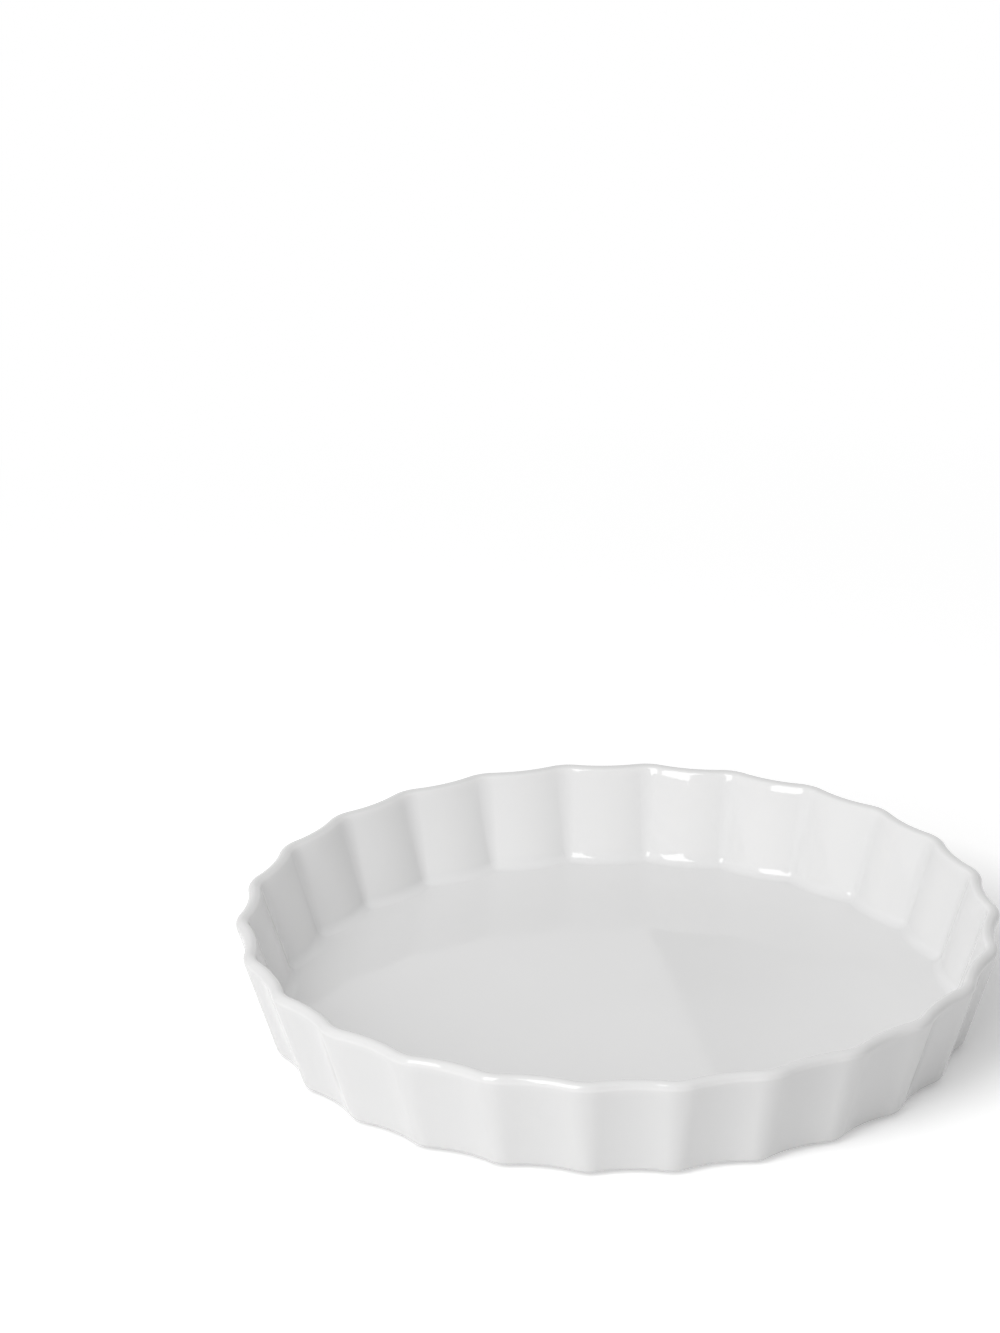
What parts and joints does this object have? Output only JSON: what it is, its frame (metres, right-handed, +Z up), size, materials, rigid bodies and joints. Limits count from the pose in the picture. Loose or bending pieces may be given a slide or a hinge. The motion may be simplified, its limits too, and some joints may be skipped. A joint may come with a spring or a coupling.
{
  "type": "quiche dish",
  "caption": "Shallow round baking dish in white glazed porcelain, with a fluted, outward-leaning wall, a rounded lip, a flat floor and a bare foot ring.",
  "frame": {"origin": "centre of the foot ring's standing face", "axes": "+Z up, out of the dish's open top; +X out through the crest of one ridge of the fluted wall"},
  "size_m": [0.255, 0.2534, 0.038],
  "materials": {
    "biscuit_porcelain": "fired and unglazed, smooth matt",
    "white_glaze": "clear white gloss glaze"
  },
  "bodies": {
    "root": {"porcelain_body": "biscuit_porcelain", "glaze_coat": "white_glaze", "underside_glaze": "white_glaze"}
  },
  "joints": []
}
